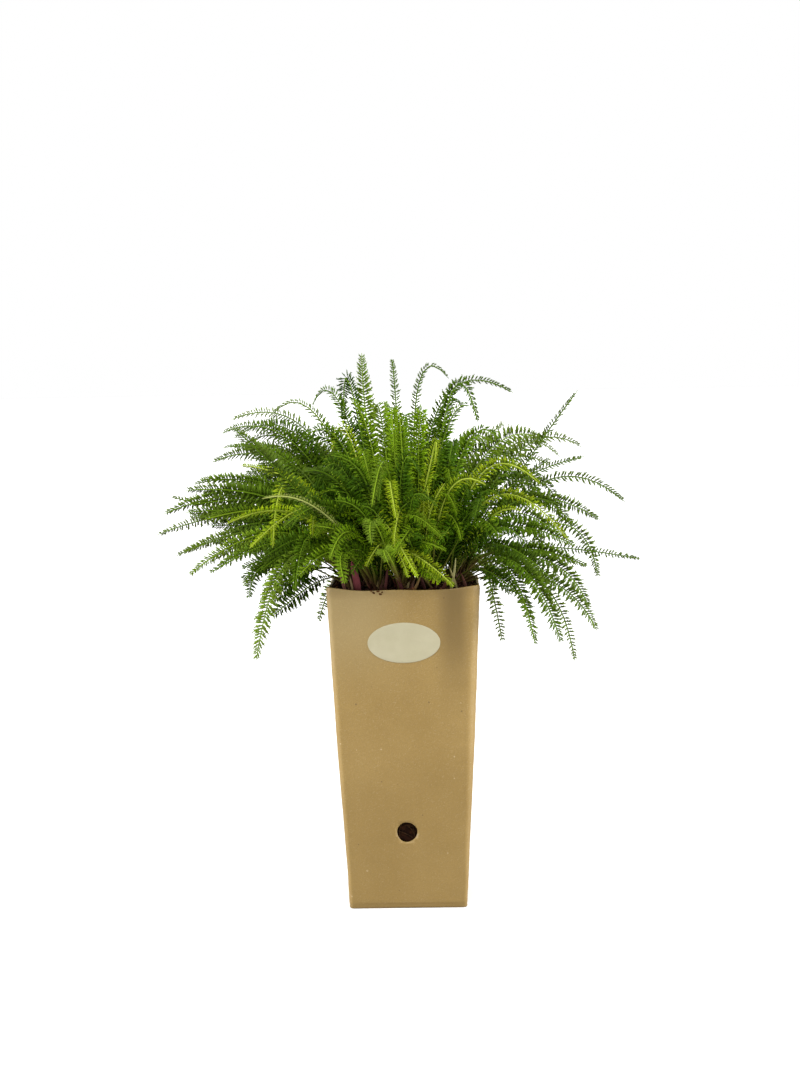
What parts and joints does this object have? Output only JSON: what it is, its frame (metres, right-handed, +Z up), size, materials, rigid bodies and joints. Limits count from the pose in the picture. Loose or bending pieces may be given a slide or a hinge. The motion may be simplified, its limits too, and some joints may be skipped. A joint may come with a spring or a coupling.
{
  "type": "yarrow plant in a tall square pot",
  "caption": "Leafy yarrow plant with feathery arching leaves in a tall tapered square fibre pot with a drain hole and a blank oval label.",
  "frame": {"origin": "centre of the pot's flat underside", "axes": "+Z up the plant; -Y towards the face with the label and the drain hole; +X to the right seen from that face"},
  "size_m": [0.2966, 0.2618, 0.328],
  "materials": {
    "fibre": "matte",
    "soil": "matte",
    "label_paper": "satin",
    "leaf_green": "satin",
    "leaf_young": "satin"
  },
  "bodies": {
    "root": {"pot": "fibre", "soil": "soil", "label": "label_paper", "shoot_right": "leaf_green", "shoot_right_back": "leaf_green", "shoot_back_right": "leaf_green", "shoot_back": "leaf_green", "shoot_back_left": "leaf_green", "shoot_left_back": "leaf_green", "shoot_left": "leaf_green", "shoot_left_front": "leaf_green", "shoot_front_left": "leaf_green", "shoot_front": "leaf_green", "shoot_front_right": "leaf_green", "shoot_right_front": "leaf_green", "heart_back_right": "leaf_young", "heart_back": "leaf_young", "heart_back_left": "leaf_young", "heart_front_left": "leaf_young", "heart_front": "leaf_young", "heart_front_right": "leaf_young"}
  },
  "joints": []
}
